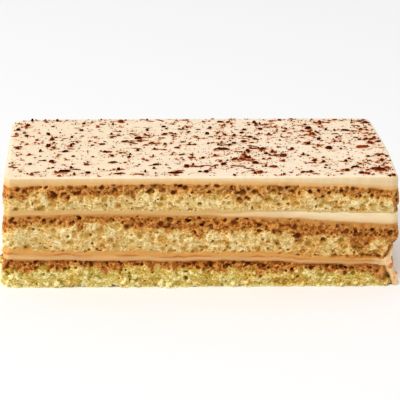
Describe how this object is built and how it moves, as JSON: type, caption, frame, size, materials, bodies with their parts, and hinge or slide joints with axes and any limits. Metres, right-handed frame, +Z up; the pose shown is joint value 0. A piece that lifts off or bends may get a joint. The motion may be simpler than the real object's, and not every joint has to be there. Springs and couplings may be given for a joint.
{
  "type": "tiramisu cake slice",
  "caption": "Oblong slice of tiramisu cake: coffee-soaked sponge sheets with cream between them and a flat cream top strewn with chocolate flakes.",
  "frame": {"origin": "middle of the slice's box, on the surface that it stands on", "axes": "+X along the length to the smeared end, -Y out of the front cut, +Z up"},
  "size_m": [0.1266, 0.059, 0.0369],
  "materials": {
    "sponge": "open pale yellow crumb, soaked brown with coffee from above; matte_plastic stands in for food",
    "filling": "smooth tan cream, satin; matte_plastic stands in for food",
    "topping": "smooth ivory cream, satin; matte_plastic stands in for food",
    "chocolate": "dark red-brown chocolate flakes and cocoa dust; matte_plastic stands in for food"
  },
  "bodies": {
    "root": {"sponge_bottom": "sponge", "cream_lower": "filling", "sponge_middle": "sponge", "cream_upper": "filling", "sponge_top": "sponge", "cream_top": "topping"}
  },
  "joints": []
}
